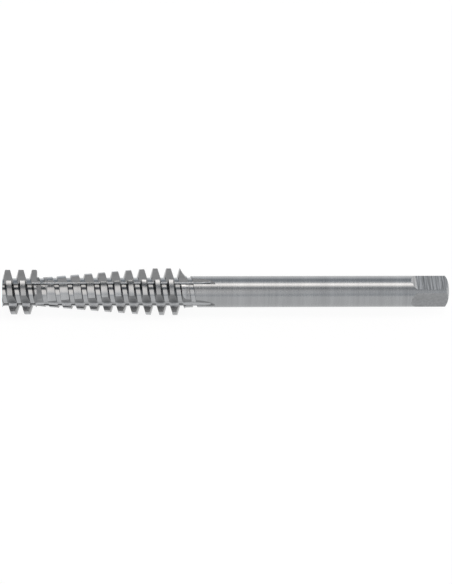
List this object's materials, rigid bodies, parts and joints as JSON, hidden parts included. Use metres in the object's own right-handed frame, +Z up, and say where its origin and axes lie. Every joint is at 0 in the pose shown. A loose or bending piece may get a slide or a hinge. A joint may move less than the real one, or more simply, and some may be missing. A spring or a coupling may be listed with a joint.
{
  "type": "trapezoidal thread tap",
  "caption": "One-piece steel hand tap for a coarse trapezoidal thread, with a straight-fluted guide, long tapered lead, plain shank and drive square.",
  "frame": {"origin": "on the ground under the middle of the tap's length", "axes": "+X along the tap's axis from the guide end to the drive square, +Z up, with the tap lying on the edges of two lands"},
  "size_m": [0.1, 0.0094, 0.0094],
  "materials": {
    "ground_steel": "ground bright high-speed steel"
  },
  "bodies": {
    "root": {"thread_tap": "ground_steel"}
  },
  "joints": []
}
